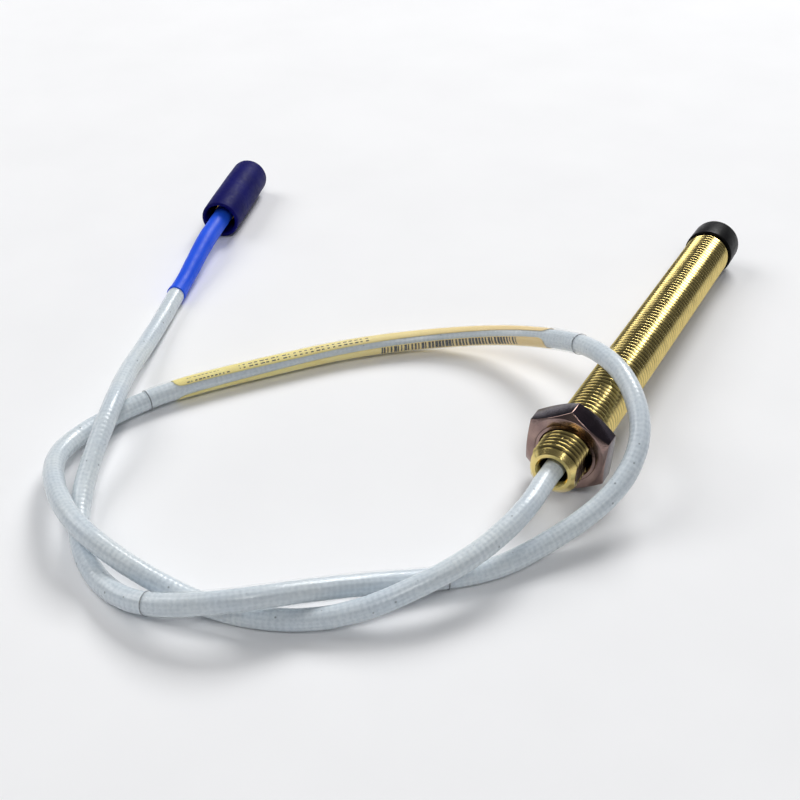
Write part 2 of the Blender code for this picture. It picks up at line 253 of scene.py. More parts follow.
jointAt = {"nut": 6.0, "couplingNut": 40.7}  # how far along the case, and along the connector, each stands
probePlace = placeOn("nut_turn", jointAt["nut"] * mm)
plugPlace = placeOn("coupling_nut_turn", jointAt["couplingNut"] * mm)


def smoothRoute(knots, step, fineness=40):  # a natural cubic spline through the knots, at even steps in metres
    knots = np.array(knots)
    spans = np.sqrt(np.linalg.norm(np.diff(knots, axis=0), axis=1))
    count = len(knots)
    system = np.eye(count)
    right = np.zeros_like(knots)
    slopes = np.diff(knots, axis=0) / spans[:, None]
    for i in range(1, count - 1):
        system[i, i - 1 : i + 2] = spans[i - 1], 2 * (spans[i - 1] + spans[i]), spans[i]
        right[i] = 6 * (slopes[i] - slopes[i - 1])
    bend = np.linalg.solve(system, right)
    fine = []
    for i, span in enumerate(spans):
        for t in np.linspace(0, span, fineness, endpoint=i == count - 2):
            a, b = (span - t) / span, t / span
            curl = (a**3 - a) * bend[i] + (b**3 - b) * bend[i + 1]
            fine.append(a * knots[i] + b * knots[i + 1] + curl * span**2 / 6)
    return evenly(np.array(fine), step)


def evenly(points, step, start=0.0, end=None):
    along = np.concatenate([[0], np.cumsum(np.linalg.norm(np.diff(points, axis=0), axis=1))])
    end = along[-1] if end is None else end
    marks = np.linspace(start, end, max(2, round((end - start) / step) + 1))
    return np.stack([np.interp(marks, along, points[:, k]) for k in range(3)], axis=1)


def frames(points):  # at each point: the level direction to the right, and up, both square to the cord
    along = np.gradient(points, axis=0)
    along /= np.linalg.norm(along, axis=1)[:, None]
    side = np.cross(along, (0, 0, 1))
    side /= np.linalg.norm(side, axis=1)[:, None]
    return side, np.cross(side, along)


def tubeMesh(name, points, radius, sides, swell, close=False):  # swell gives mm outwards, from mm along and angle
    curve = bpy.data.curves.new(name, "CURVE")
    curve.dimensions = "3D"
    curve.twist_mode = "Z_UP"
    spline = curve.splines.new("POLY")
    spline.points.add(len(points) - 1)
    for spot, place in zip(spline.points, points):
        spot.co = (*place, 1)
    curve.bevel_depth = radius * mm
    curve.bevel_resolution = (sides - 4) // 2
    holder = bpy.data.objects.new(name, curve)
    mesh = bpy.data.meshes.new_from_object(holder)
    bpy.data.objects.remove(holder)
    bpy.data.curves.remove(curve)
    corners = np.zeros(len(mesh.vertices) * 3, np.float32)
    mesh.vertices.foreach_get("co", corners)
    rings = corners.reshape(len(points), -1, 3).astype(float)
    offset = rings - points[:, None]
    outwards = offset / np.linalg.norm(offset, axis=2)[..., None]
    side, upwards = frames(points)
    angle = np.arctan2((outwards * upwards[:, None]).sum(2), (outwards * side[:, None]).sum(2))
    reach = np.concatenate([[0], np.cumsum(np.linalg.norm(np.diff(points, axis=0), axis=1))]) / mm
    more = swell(reach[:, None] + 0 * angle, angle, rings)
    rings += outwards * (more * mm)[..., None]
    mesh.vertices.foreach_set("co", rings.astype(np.float32).ravel())
    bm = bmesh.new()
    bm.from_mesh(mesh)
    if close:
        bmesh.ops.holes_fill(bm, edges=[e for e in bm.edges if e.is_boundary], sides=0)
        bmesh.ops.recalc_face_normals(bm, faces=bm.faces)
    bm.to_mesh(mesh)
    bm.free()
    return mesh


def lumpy(rings, sizeMm, seed):  # slow unevenness from -1 to 1
    shift = Vector((seed, 2 * seed, 3 * seed))
    flat = rings.reshape(-1, 3) / (sizeMm * mm)
    return np.array([noise.noise(Vector(p) + shift) for p in flat]).reshape(rings.shape[:2])


def wall(obj, thick):
    modifier = obj.modifiers.new("wall", "SOLIDIFY")
    modifier.thickness = thick * mm
    modifier.offset = -1


# braided stainless armour under a clear extruded FEP jacket: pale blue-grey, faintly ribbed, with wavy glints
def jacketFinish(long):
    finish, tree, shader = newFinish(
        "braidUnderClearFep", {"IOR": 1.34, "Coat Weight": 0.6, "Coat Roughness": 0.12, "Coat IOR": 1.34}
    )
    route = addNode(tree, "SeparateXYZ", {0: addNode(tree, "TexCoord").outputs["UV"]})
    along, around = route.outputs[0], route.outputs[1]
    turns = calc(tree, "MULTIPLY", along, long / cable["strand"])
    strands = calc(tree, "MULTIPLY", around, cable["carriers"])
    first = calc(tree, "SINE", calc(tree, "MULTIPLY", calc(tree, "ADD", turns, strands), math.tau))
    second = calc(tree, "SINE", calc(tree, "MULTIPLY", calc(tree, "SUBTRACT", turns, strands), math.tau))
    weave = calc(tree, "MULTIPLY", first, second)
    place = objectPlace(tree)
    stain = grain(tree, place, 9, 0, 1)
    pale = twoTone(tree, stain, "#D2DCE4", "#DBE2E5")
    grey = twoTone(tree, stain, "#C3CED7", "#CBD4D9")
    lit = spread(tree, calc(tree, "ADD", weave, grain(tree, place, 0.5, -1.2, 1.2)), -1.2, 0.8, 0, 1)
    woven = addNode(tree, "Mix", {0: lit, 6: grey, 7: pale}, data_type="RGBA").outputs[2]
    specks = addNode(tree, "TexVoronoi", {"Vector": place, "Scale": 1 / (2.6 * mm), "Randomness": 1.0})
    speck = spread(tree, specks.outputs["Distance"], 0.05, 0.09, 0.55, 0)  # a few dark specks of dirt
    shown = addNode(tree, "Mix", {0: speck, 6: woven, 7: linear("#3A4248")}, data_type="RGBA").outputs[2]
    tree.links.new(shown, shader.inputs["Base Color"])
    tree.links.new(grain(tree, place, 3, 0.26, 0.44), shader.inputs["Roughness"])
    bump(tree, shader, calc(tree, "ADD", weave, grain(tree, place, 1.6, -2, 2)), 0.012)
    return finish


def makeCable():
    straight = probePlace @ Vector((-cable["straight"] * mm, 0, 0))
    points = smoothRoute([probePlace.translation, straight, *cableRoute], cable["step"] * mm)
    points = np.vstack([probePlace @ Vector((cable["sunk"] * mm, 0, 0)), points])

    def braid(s, angle, rings):
        ribs = np.cos(math.tau * s / cable["rib"] + 0.8 * np.sin(2 * angle))  # they wander a little
        lobes = np.cos(cable["lobes"] * angle + 0.3 * s)  # and these wind slowly round
        return cable["ripple"] * (ribs + 0.6 * lobes) + cable["lump"] * lumpy(rings, cable["lumpSize"], 1)

    mesh = tubeMesh("cable_run", points, cable["radius"] - cable["lump"], cable["sides"], braid, close=True)
    finish = jacketFinish(cable["step"] * (len(points) - 1))
    obj = piece("cable_run", mesh, finish, "probe", "cable_jacket", "cable", sharp=60)
    return obj, points


cableObject, cablePoints = makeCable()
cableSide, cableUp = frames(cablePoints)
print("cable ready")


def onCable(s, angle, radius):  # the point so far along in mm, at that angle up from the right, and that far out
    spot = s / cable["step"]
    index = np.arange(len(cablePoints))
    centre, side, upwards = (
        np.array([np.interp(spot, index, field[:, k]) for k in range(3)])
        for field in (cablePoints, cableSide, cableUp)
    )
    return Vector(centre + radius * mm * (side * math.cos(angle) + upwards * math.sin(angle)))


# clear heat-shrunk FEP film: nothing but its gloss and a faint milkiness shows, more towards its edges
def filmFinish(name, cloud, long):
    gloss = {"IOR": 1.34, "Coat Weight": 1.0, "Coat Roughness": 0.08, "Coat IOR": 1.5}
    finish, tree, shader = newFinish(name, gloss)
    place = objectPlace(tree)
    route = addNode(tree, "SeparateXYZ", {0: addNode(tree, "TexCoord").outputs["UV"]})
    fromStart = calc(tree, "MULTIPLY", route.outputs[0], long)
    fromEnd = calc(tree, "SUBTRACT", long, fromStart)
    nearest = calc(tree, "MINIMUM", fromStart, fromEnd)
    paintedEdgeLine = spread(tree, nearest, 0.12, 0.26, 1, 0)  # the cut ends show as a line, painted grey as painted shade
    body = twoTone(tree, grain(tree, place, 4, 0, 1), "#F0F4F7", "#E4EAEF")
    shown = addNode(tree, "Mix", {0: paintedEdgeLine, 6: body, 7: linear("#666D76")}, data_type="RGBA").outputs[2]
    tree.links.new(shown, shader.inputs["Base Color"])
    tree.links.new(grain(tree, place, 2.5, 0.12, 0.25), shader.inputs["Roughness"])
    facing = addNode(tree, "LayerWeight", {"Blend": 0.3}).outputs["Facing"]
    clear = addNode(tree, "BsdfTransparent", {"Color": (1, 1, 1, 1)})
    share = spread(tree, calc(tree, "POWER", facing, 3.0), 0, 1, cloud, cloud + 0.2)
    # the painted edge line is also made less clear
    share = calc(tree, "MAXIMUM", share, calc(tree, "MULTIPLY", paintedEdgeLine, 0.6))
    film = addNode(tree, "MixShader", {0: share, 1: clear.outputs[0], 2: shader.outputs[0]})
    tree.links.new(film.outputs[0], tree.nodes["Material Output"].inputs["Surface"])
    return finish


sleeve = {"step": 0.4, "sides": 32, "lump": 0.055, "lumpSize": 2.6, "endRadius": 1.98, "endReach": 1.5, "wall": 0.1}


def makeSleeve(name, material, span, radius, cloud, seed):
    points = evenly(cablePoints, sleeve["step"] * mm, span[0] * mm, span[1] * mm)

    def shrunk(s, angle, rings):
        ends = np.minimum(s, span[1] - span[0] - s)
        drawnIn = (sleeve["endRadius"] - radius) * np.exp(-ends / sleeve["endReach"])
        return sleeve["lump"] * lumpy(rings, sleeve["lumpSize"], seed) + drawnIn

    mesh = tubeMesh(name, points, radius, sleeve["sides"], shrunk)
    finish = filmFinish(material, cloud, span[1] - span[0])
    obj = piece(name + "_film", mesh, finish, "probe", "clear_sleeve", name, sharp=60)
    wall(obj, sleeve["wall"])
    return obj


sleeves = [
    makeSleeve("label_sleeve", "shrunkFepOnLabel", (140.5, 234.5), 2.17, 0.07, 5),
    makeSleeve("tag_sleeve", "shrunkFepOnJacket", (307, 355.5), 2.06, 0.06, 8),
]

# the label is wrapped round the cable, and its two long edges leave a gap that creeps round it
label = {
    "from": 146,
    "to": 225,
    "radius": 1.95,
    "width": 11.2,
    "cells": (260, 48),
    "shares": (0, 0.33, 0.7, 1),  # along the label, where its two edges stand at these angles
    "lowEdge": (-14, 8, 22, 25),
    "highEdge": (49, 45, 58, 66),
    "corner": 1.6,
    "wall": 0.05,
    "marks": (  # pitch, thinnest and thickest share of it, and the band they fill along and across, in mm
        (0.72, 0.35, 0.9, (42, 71.5), (9.25, 11.08)),
        (1.15, 0.3, 0.8, (13, 40), (0.5, 0.78)),
        (1.15, 0.3, 0.8, (13, 40), (1.2, 1.48)),
        (0.8, 0.3, 0.8, (2.2, 11), (0.3, 0.6)),
        (0.8, 0.3, 0.8, (2.6, 9), (1.35, 1.55)),
    ),
}


# printed polyester film: satin yellow, warmer towards one end, under flat black ink
def labelFinish():
    finish, tree, shader = newFinish("printedYellowFilm", {"IOR": 1.5})
    route = addNode(tree, "SeparateXYZ", {0: addNode(tree, "TexCoord").outputs["UV"]})
    along, across = route.outputs[0], route.outputs[1]

    def within(value, low, high):
        above = calc(tree, "GREATER_THAN", value, low)
        return calc(tree, "MULTIPLY", above, calc(tree, "LESS_THAN", value, high))

    def strokes(pitch, thin, thick, spanAlong, spanAcross):  # bars of even pitch and uneven width in one band
        count = calc(tree, "DIVIDE", along, pitch)
        chance = addNode(tree, "TexWhiteNoise", {"W": calc(tree, "FLOOR", count)}, noise_dimensions="1D")
        reach = spread(tree, chance.outputs["Value"], 0, 1, thin, thick)
        band = calc(tree, "MULTIPLY", within(along, *spanAlong), within(across, *spanAcross))
        return calc(tree, "MULTIPLY", calc(tree, "LESS_THAN", calc(tree, "FRACT", count), reach), band)

    ink = 0.0
    for mark in label["marks"]:  # bars and dashes that stand for the printing and say nothing
        ink = calc(tree, "MAXIMUM", ink, strokes(*mark))
    place = objectPlace(tree)
    film = twoTone(tree, grain(tree, place, 7, 0, 1), "#FAEE98", "#F5E282")
    tint = spread(tree, along, 20, 70, 0, 1)
    film = addNode(tree, "Mix", {0: tint, 6: film, 7: linear("#F3D694")}, data_type="RGBA").outputs[2]
    printed = addNode(tree, "Mix", {0: ink, 6: film, 7: linear("#140E0A")}, data_type="RGBA").outputs[2]
    tree.links.new(printed, shader.inputs["Base Color"])
    tree.links.new(grain(tree, place, 2, 0.4, 0.55), shader.inputs["Roughness"])
    bump(tree, shader, grain(tree, place, 1.2, 0, 1), 0.01)
    return finish


def makeLabel():
    length = label["to"] - label["from"]
    width = label["width"]
    bm = bmesh.new()
    printing = bm.loops.layers.uv.new("printing")
    bmesh.ops.create_grid(bm, x_segments=label["cells"][0], y_segments=label["cells"][1], size=0.5)
    for vert in bm.verts:  # the sheet lies flat in mm first, its corners rounded
        share, v = vert.co.x + 0.5, (vert.co.y + 0.5) * width
        edge = min(v, width - v)
        cut = label["corner"]
        inset = cut - math.sqrt(cut**2 - (cut - min(edge, cut)) ** 2)
        vert.co = (inset + share * (length - 2 * inset), v, 0)
    for face in bm.faces:
        for loop in face.loops:
            loop[printing].uv = loop.vert.co.xy
    for vert in bm.verts:  # then it's wrapped
        share = vert.co.x / length
        high = np.interp(share, label["shares"], label["highEdge"])
        low = np.interp(share, label["shares"], label["lowEdge"])
        angle = math.radians(high + vert.co.y / width * (360 + low - high))
        vert.co = onCable(label["from"] + vert.co.x, angle, label["radius"])
    mesh = meshOf(bm, "label", Matrix())
    obj = piece("printed_label", mesh, labelFinish(), "probe", "label_film", "label_wrap", sharp=60)
    wall(obj, label["wall"])
    return obj


labelObject = makeLabel()
print("sleeves and label ready")


# the connector end: boot, plug and cap
boot = {
    "from": -0.8,
    "to": 33.0,
    "gap": 0.3,  # from the cable's end to the connector's own zero
    "level": 22,  # where it has risen to the plug's height
    "radius": 1.93,
    "wall": 0.45,
    "rings": 150,
    "sides": 48,
    "lap": (0.1, 0.4, 1.1),  # the swelling over the cable's end: how much, where, how long
    "waist": (-0.1, 5.5, 3.5),
    "plugSwell": (0.13, 17, 1.2),  # how much wider over the plug's tail, from where, how gently
    "lump": 0.03,
    "lumpSize": 2.4,
}


# heat-shrunk polyolefin tube: satin blue, a little uneven where it grips what is under it, with painted shade
# making it a darker blue towards the cap
def bootFinish():
    finish, tree, shader = newFinish("blueShrinkTube", {"IOR": 1.49, "Specular IOR Level": 0.25})
    place = objectPlace(tree)
    along = addNode(tree, "SeparateXYZ", {0: place}).outputs[0]
    # painted shade: the blue darkens over about ten millimetres towards the cap
    paintedShadeNearCap = spread(tree, along, -0.004, 0.006, 0, 1)
    blue = twoTone(tree, paintedShadeNearCap, "#1452E6", "#1E4FCC")
    worn = grain(tree, place, 5, 0, 0.5)
    faded = addNode(tree, "Mix", {0: worn, 6: blue, 7: linear("#225EF0")}, data_type="RGBA").outputs[2]
    tree.links.new(faded, shader.inputs["Base Color"])
    tree.links.new(grain(tree, place, 1.5, 0.38, 0.52), shader.inputs["Roughness"])
    bump(tree, shader, grain(tree, place, 0.35, 0, 1), 0.012)
    return finish


# vinyl, moulded in navy or dipped in black: a dull satin, mottled by flow and dust
def vinylFinish(name, first, second, rough):
    finish, tree, shader = newFinish(name, {"IOR": 1.5, "Specular IOR Level": 0.1})
    place = objectPlace(tree)
    tree.links.new(twoTone(tree, grain(tree, place, 6, 0, 1), first, second), shader.inputs["Base Color"])
    tree.links.new(grain(tree, place, 1.0, rough - 0.06, rough + 0.1), shader.inputs["Roughness"])
    bump(tree, shader, grain(tree, place, 0.25, 0, 1), 0.01)
    return finish


def bootPath():
    start = Vector(cablePoints[-1])
    heading = Vector((plugPlace[0][0], plugPlace[1][0], 0))
    path = []
    for t in np.linspace(boot["from"], boot["to"], boot["rings"]):
        rise = min(max(t / boot["level"], 0), 1)
        place = start + heading * ((t + boot["gap"]) * mm)
        place.z = start.z + (plugPlace.translation.z - start.z) * rise * rise * (3 - 2 * rise)
        path.append(place)
    return np.array(path)


def makeBoot():
    def gripping(s, angle, rings):
        bulges = sum(much * np.exp(-(((s - at) / long) ** 2)) for much, at, long in (boot["lap"], boot["waist"]))
        much, at, gently = boot["plugSwell"]
        swell = much / (1 + np.exp(-(s - at) / gently))
        return bulges + swell + boot["lump"] * lumpy(rings, boot["lumpSize"], 3)

    mesh = tubeMesh("boot", bootPath(), boot["radius"], boot["sides"], gripping)
    obj = piece("shrink_boot", mesh, bootFinish(), "probe", "blue_sleeve", "connector_boot", sharp=60)
    wall(obj, boot["wall"])
    return obj


cap = {
    "mouth": 29.0,
    "end": 53.0,
    "radius": 4.4,
    "inner": 3.6,
    "lip": 3.5,  # a ring inside the mouth grips the tube
    "lipLength": 3.5,
    "floor": 1.0,
    "floorRound": 0.5,
    "mouthRound": 0.38,
    "mouthDraft": 0.06,
    "fullFrom": 6,  # it bulges a little, so far from each end
    "fullTo": 7,
    "shoulder": 0.02,
    "endDraft": 0.12,
    "endRound": 1.6,
    "steps": 96,
}


def makePlugCap():
    m, e, r, i = (cap[key] for key in ("mouth", "end", "radius", "inner"))
    outline = [
        (e - cap["floor"], 0),
        (e - cap["floor"], i, cap["floorRound"]),
        (m + cap["lipLength"] + 1, i),
        (m + cap["lipLength"], cap["lip"]),
        (m, cap["lip"], cap["mouthRound"]),
        (m, r - cap["mouthDraft"], cap["mouthRound"]),
        (m + cap["fullFrom"], r),
        (e - cap["fullTo"], r - cap["shoulder"]),
        (e, r - cap["endDraft"], cap["endRound"]),
        (e + 0.02, 0),
    ]
    mesh = meshOf(spunShape(outline, cap["steps"]), "cap", plugPlace)
    finish = vinylFinish("navyMouldedVinyl", "#020250", "#05055E", 0.5)
    return piece("plug_dust_cap", mesh, finish, "plug_cap", "navy_rubber", "plug_cap", sharp=50)


# machined brass, gold plated: warm, smooth, bright on the knurl
def plateFinish():
    finish, tree, shader = newFinish("goldPlatedBrass", {"Metallic": 1.0})
    place = objectPlace(tree)
    tone = twoTone(tree, grain(tree, place, 2, 0, 1), "#E8C272", "#D4A856")
    tree.links.new(tone, shader.inputs["Base Color"])
    tree.links.new(grain(tree, place, 0.8, 0.16, 0.28), shader.inputs["Roughness"])
    bump(tree, shader, grain(tree, place, 0.4, 0, 1), 0.003)
    return finish


coupling = {
    "start": jointAt["couplingNut"],
    "end": 49.8,
    "radius": 3.42,
    "bore": 2.75,
    "boreRound": 0.1,
    "rimRound": 0.12,
    "collar": 0.3,  # how far the plain ends and the groove lie below the knurl
    "groove": 0.35,
    "ridges": 40,
    "ridge": 0.09,
    "steps": 160,
}


def makeCouplingNut():
    a, b, r, bore = (coupling[key] for key in ("start", "end", "radius", "bore"))
    collar, groove = r - coupling["collar"], r - coupling["groove"]
    outline = [
        (a, bore, coupling["boreRound"]),
        (a, collar, coupling["rimRound"]),
        (a + 1.0, collar),
        (a + 1.2, r),
        (a + 2.6, r),
        (a + 4.0, r),
        (a + 4.2, groove),
        (a + 4.7, groove),
        (a + 4.9, r),
        (a + 6.3, r),
        (b - 1.0, r),
        (b - 0.8, collar),
        (b, groove, coupling["rimRound"]),
        (b, bore, coupling["boreRound"]),
    ]
    bm = spunShape(outline, coupling["steps"], closed=True)
    for vert in bm.verts:  # a straight knurl on the two grips
        reach = math.hypot(vert.co.y, vert.co.z)
        if reach > (r - 0.01) * mm:
            ripple = math.cos(coupling["ridges"] * math.atan2(vert.co.z, vert.co.y)) - 1
            grow = 1 + coupling["ridge"] * mm * ripple / reach
            vert.co.y *= grow
            vert.co.z *= grow
    mesh = meshOf(bm, "couplingNut", plugPlace)
    names = ("knurled_coupling_nut", mesh, plateFinish(), "coupling_nut", "gold_plate", "plug_coupling_nut")
    return piece(*names, sharp=30)


couplingObject = makeCouplingNut()
bootObject = makeBoot()
plugCapObject = makePlugCap()
print("connector ready")


# the case has a 3/8-24 UNF thread over its whole length
case = {
    "length": 88.9,
    "crest": 4.7625,
    "pitch": 25.4 / 24,
    "depth": 0.62,
    "rootRound": ((0, 0), (0.08, 0.015), (0.14, 0.055)),  # along from the middle of the root, and up
    "crestRound": ((0.09, 0.035), (0.05, 0.01)),  # back from the middle of the crest, and down
    "turnSteps": 64,
    "rearChamfer": 1.2,
    "tipChamfer": 0.5,
    "bore": 2.5,
    "mouth": 2.7,
    "mouthLip": (0.3, 0.25),  # how deep the mouth flares, and how far out
    "mouthDepth": 0.6,
    "tipSeat": (71, 3.5),
    "steps": 128,
    "flatAcross": 8.0,
    "flatLength": 5.0,
    "cutterRadius": 9.0,  # the flats run out as the round cutter left them
    "cutterSteps": 96,
    "cutterDepth": 14,
    # between these radii the painted shade of the roots gives way to the crest colour
    "rootShadeRadii": (4.2, 4.72),
    "plainEnd": (1.0, 1.3),
    "lathePitch": 0.9,  # coarser than the real lines, which are too fine to show
}


# stainless steel with a rolled thread and a gold tone: bright crests, roots painted dull brown as painted shade,
# faint lines round the axis
def threadFinish():
    finish, tree, shader = newFinish("goldTonedRolledThread", {"Metallic": 1.0})
    local = addNode(tree, "Mapping", {"Vector": objectPlace(tree)}, vector_type="POINT")
    inverse = probePlace.inverted()
    local.inputs["Location"].default_value = inverse.translation
    local.inputs["Rotation"].default_value = inverse.to_euler()
    parts = addNode(tree, "SeparateXYZ", {0: local.outputs[0]})
    squares = [calc(tree, "POWER", calc(tree, "ABSOLUTE", parts.outputs[k]), 2.0) for k in (1, 2)]
    radius = calc(tree, "SQRT", calc(tree, "ADD", *squares))
    lowest, highest = (reach * mm for reach in case["rootShadeRadii"])
    height = spread(tree, radius, lowest, highest, 0, 1)
    endTone, threadTone = (reach * mm for reach in case["plainEnd"])
    plain = spread(tree, parts.outputs[0], endTone, threadTone, 1, 0)  # the turned end gets no painted root shade
    # a random mottle moves the edge of the painted root shade
    rootShadeMottle = grain(tree, local.outputs[0], 2.5, -0.12, 0.12)
    share = calc(tree, "ADD", calc(tree, "MAXIMUM", height, plain), rootShadeMottle)
    # painted shade: dark brown in the thread roots, light gold on the crests
    colours = {0: share, 6: linear("#40361A"), 7: linear("#E6D088")}
    tone = addNode(tree, "Mix", colours, data_type="RGBA", clamp_factor=True)
    tree.links.new(tone.outputs[2], shader.inputs["Base Color"])
    tree.links.new(grain(tree, local.outputs[0], 1.6, 0.12, 0.24), shader.inputs["Roughness"])
    turned = {"W": calc(tree, "DIVIDE", parts.outputs[0], case["lathePitch"] * mm), "Scale": 1.0, "Detail": 2.0}
    lines = addNode(tree, "TexNoise", turned, noise_dimensions="1D")
    bump(tree, shader, lines.outputs["Fac"], 0.003)
    return finish


def threadedRod():
    pitch, depth = case["pitch"], case["depth"]
    half = pitch / 2
    rise = [*case["rootRound"], *((half - s, depth - r) for s, r in case["crestRound"])]
    outline = [*rise, (half, depth), *((pitch - s, r) for s, r in reversed(rise))]
    bm = bmesh.new()
    corners = [bm.verts.new((s, 0, case["crest"] - depth + r)) for s, r in outline]
    edges = [bm.edges.new(pair) for pair in zip(corners, corners[1:])]
    steps = case["turnSteps"]
    rising = {"dvec": (pitch / steps, 0, 0), "angle": math.tau, "steps": steps, "use_merge": False}
    bmesh.ops.spin(bm, geom=corners + edges, cent=(0, 0, 0), axis=(1, 0, 0), **rising)
    turns = 1
    while turns * pitch < case["length"] + 4 * pitch:  # one turn doubled until it's long enough
        copied = bmesh.ops.duplicate(bm, geom=bm.verts[:] + bm.edges[:] + bm.faces[:])["geom"]
        moved = [v for v in copied if isinstance(v, bmesh.types.BMVert)]
        bmesh.ops.translate(bm, vec=(turns * pitch, 0, 0), verts=moved)
        turns *= 2
    bmesh.ops.translate(bm, vec=(-2 * pitch, 0, 0), verts=bm.verts)
    spare = 0.3  # left on both ends for the turned outline to trim
    for end, side in ((-spare, -1), (case["length"] + spare, 1)):
        everything = bm.verts[:] + bm.edges[:] + bm.faces[:]
        plane = {"plane_co": (end, 0, 0), "plane_no": (side, 0, 0)}
        bmesh.ops.bisect_plane(bm, geom=everything, dist=1e-5, **plane, clear_outer=True)
    bmesh.ops.remove_doubles(bm, verts=bm.verts, dist=1e-4)
    bmesh.ops.holes_fill(bm, edges=[e for e in bm.edges if e.is_boundary], sides=0)
    bmesh.ops.recalc_face_normals(bm, faces=bm.faces)
    bmesh.ops.scale(bm, vec=(mm, mm, mm), verts=bm.verts)
    return bm


def flatCutter(side):  # the round cutter, drawn out backwards past the end of the case
    reach, past = case["cutterRadius"], 4
    bm = bmesh.new()
    sizes = {"radius1": reach, "radius2": reach, "depth": case["cutterDepth"], "segments": case["cutterSteps"]}
    bmesh.ops.create_cone(bm, cap_ends=True, **sizes)
    bmesh.ops.translate(bm, vec=(-past, 0, 0), verts=[v for v in bm.verts if v.co.x < 0])
    offset = case["flatAcross"] / 2 + reach
    bmesh.ops.translate(bm, vec=(case["flatLength"], side * offset, 0), verts=bm.verts)
    bmesh.ops.scale(bm, vec=(mm, mm, mm), verts=bm.verts)
    return bm


def makeCase():
    end, crest, mouth = case["length"], case["crest"], case["mouth"]
    rear, tip = case["rearChamfer"], case["tipChamfer"]
    seatAt, seat = case["tipSeat"]
    flareDeep, flareOut = case["mouthLip"]
    over = 0.15  # past the crests, so that only the chamfers cut them
    outline = [
        (flareDeep, mouth),
        (0, mouth + flareOut),
        (0, crest - rear),
        (rear + over, crest + over),
        (end - tip - over, crest + over),
        (end, crest - tip),
        (end, seat),
        (seatAt, seat),
        (seatAt, case["bore"]),
        (case["mouthDepth"], case["bore"]),
    ]
    steps = [("INTERSECT", spunShape(outline, case["steps"], closed=True))]
    steps += [("DIFFERENCE", flatCutter(side)) for side in (-1, 1)]
    mesh = meshOf(cutMesh(threadedRod(), *steps), "case", probePlace)
    piece("threaded_case", mesh, threadFinish(), "probe", "case_metal", "probe_case")


makeCase()
print("case ready")


# the jam nut is crowned on both faces, and its edges are just broken
nut = {
    "across": 14.2875,
    "thick": 4.76,
    "at": jointAt["nut"],
    "turn": 1.5,
    "hole": 5.5,
    "crown": 30,
    "crownInset": 0.25,
    "edge": 0.07,
    "steps": 96,
    "flatArea": 3,  # in square mm: faces larger than this that stand along the axis are the flats
    "clear": 0.05,  # between the lining and the thread's crests
    "sunk": 0.15,
    "shy": (0.02, 0.03),  # how far the lining stays inside the hexagon's faces and hole
}


# one steel in two painted tones: the faces bright and brown-grey, the flats dark violet, both painted reflections
# of the surroundings
def nutFinish(name, first, second):
    finish, tree, shader = newFinish(name, {"Metallic": 1.0})
    place = objectPlace(tree)
    tone = twoTone(tree, grain(tree, place, 3, 0, 1), first, second)
    tree.links.new(tone, shader.inputs["Base Color"])
    tree.links.new(grain(tree, place, 1.2, 0.16, 0.26), shader.inputs["Roughness"])
    brushed = addNode(tree, "Mapping", {"Vector": place, "Scale": (1, 1, 14)})
    bump(tree, shader, grain(tree, brushed.outputs[0], 1.5, 0, 1), 0.006)
    return finish


def makeNut():
    corner = nut["across"] / 2 / math.cos(math.radians(30))
    bm = bmesh.new()
    sizes = {"radius1": corner, "radius2": corner, "depth": nut["thick"]}
    upright = Matrix.Rotation(math.pi / 2, 4, "Y")
    bmesh.ops.create_cone(bm, segments=6, cap_ends=True, **sizes, matrix=upright)
    turn = Matrix.Rotation(math.pi / 2 + math.radians(nut["turn"]), 3, "X")
    bmesh.ops.rotate(bm, cent=(0, 0, 0), matrix=turn, verts=bm.verts)
    bmesh.ops.translate(bm, vec=(nut["at"] + nut["thick"] / 2, 0, 0), verts=bm.verts)
    bmesh.ops.scale(bm, vec=(mm, mm, mm), verts=bm.verts)
    start, end = nut["at"], nut["at"] + nut["thick"]
    crown = nut["across"] / 2 - nut["crownInset"]
    beyond = corner + 1
    rise = (beyond - crown) * math.tan(math.radians(nut["crown"]))
    outline = [
        (start, nut["hole"]),
        (start, crown),
        (start + rise, beyond),
        (end - rise, beyond),
        (end, crown),
        (end, nut["hole"]),
    ]
    cut = cutMesh(bm, ("INTERSECT", spunShape(outline, nut["steps"], closed=True)), bevel=nut["edge"])
    # painted reflections: brown-grey for the faces and the lining, dark violet for the flats
    finish = nutFinish("nutSteelPaintedBrownReflection", "#A08880", "#86706C")
    darkFlatReflection = nutFinish("nutSteelPaintedDarkReflection", "#5A4D55", "#484048")
    hexagon = meshOf(cut, "nut", probePlace)
    piece("hex_jam_nut", hexagon, finish, "nut", "nut_steel", "jam_nut", sharp=30)
    hexagon.materials.append(darkFlatReflection)
    along = probePlace.to_3x3().col[0]
    # the large faces that stand along the axis are the flats, and get the dark painted reflection
    for face in hexagon.polygons:
        if abs(face.normal.dot(along)) < 0.1 and face.area > nut["flatArea"] * mm * mm:
            face.material_index = 1
    shyFace, shyHole = nut["shy"]
    inner, outer, sunk = case["crest"] + nut["clear"], nut["hole"] - shyHole, nut["sunk"]
    outline = [
        (start + shyFace, inner + sunk),
        (start + shyFace, outer),
        (end - shyFace, outer),
        (end - shyFace, inner + sunk),
        (end - sunk, inner),
        (start + sunk, inner),
    ]
    lining = meshOf(spunShape(outline, nut["steps"], closed=True), "lining", probePlace)
    piece("nut_thread_lining", lining, finish, "nut_carrier", "nut_steel", "jam_nut_thread", sharp=30)


makeNut()
print("nut ready")


# the vinyl cap that is pushed on the sensing tip
tipCap = {
    "at": 89.25,
    "length": 7.0,
    "radius": 5.15,
    "tip": (5.1, 4.0),  # how far the tip stands out of the case, and its radius
    "clear": 0.1,
    "draft": 0.08,  # narrower at its closed end
    "flare": (0.3, 0.2),  # how deep its mouth widens, and by how much
    "floorRound": 0.3,
    "mouthRounds": (0.15, 0.1, 0.3),  # inside, on the lip and outside
    "endRound": 1.1,
    "steps": 80,
}


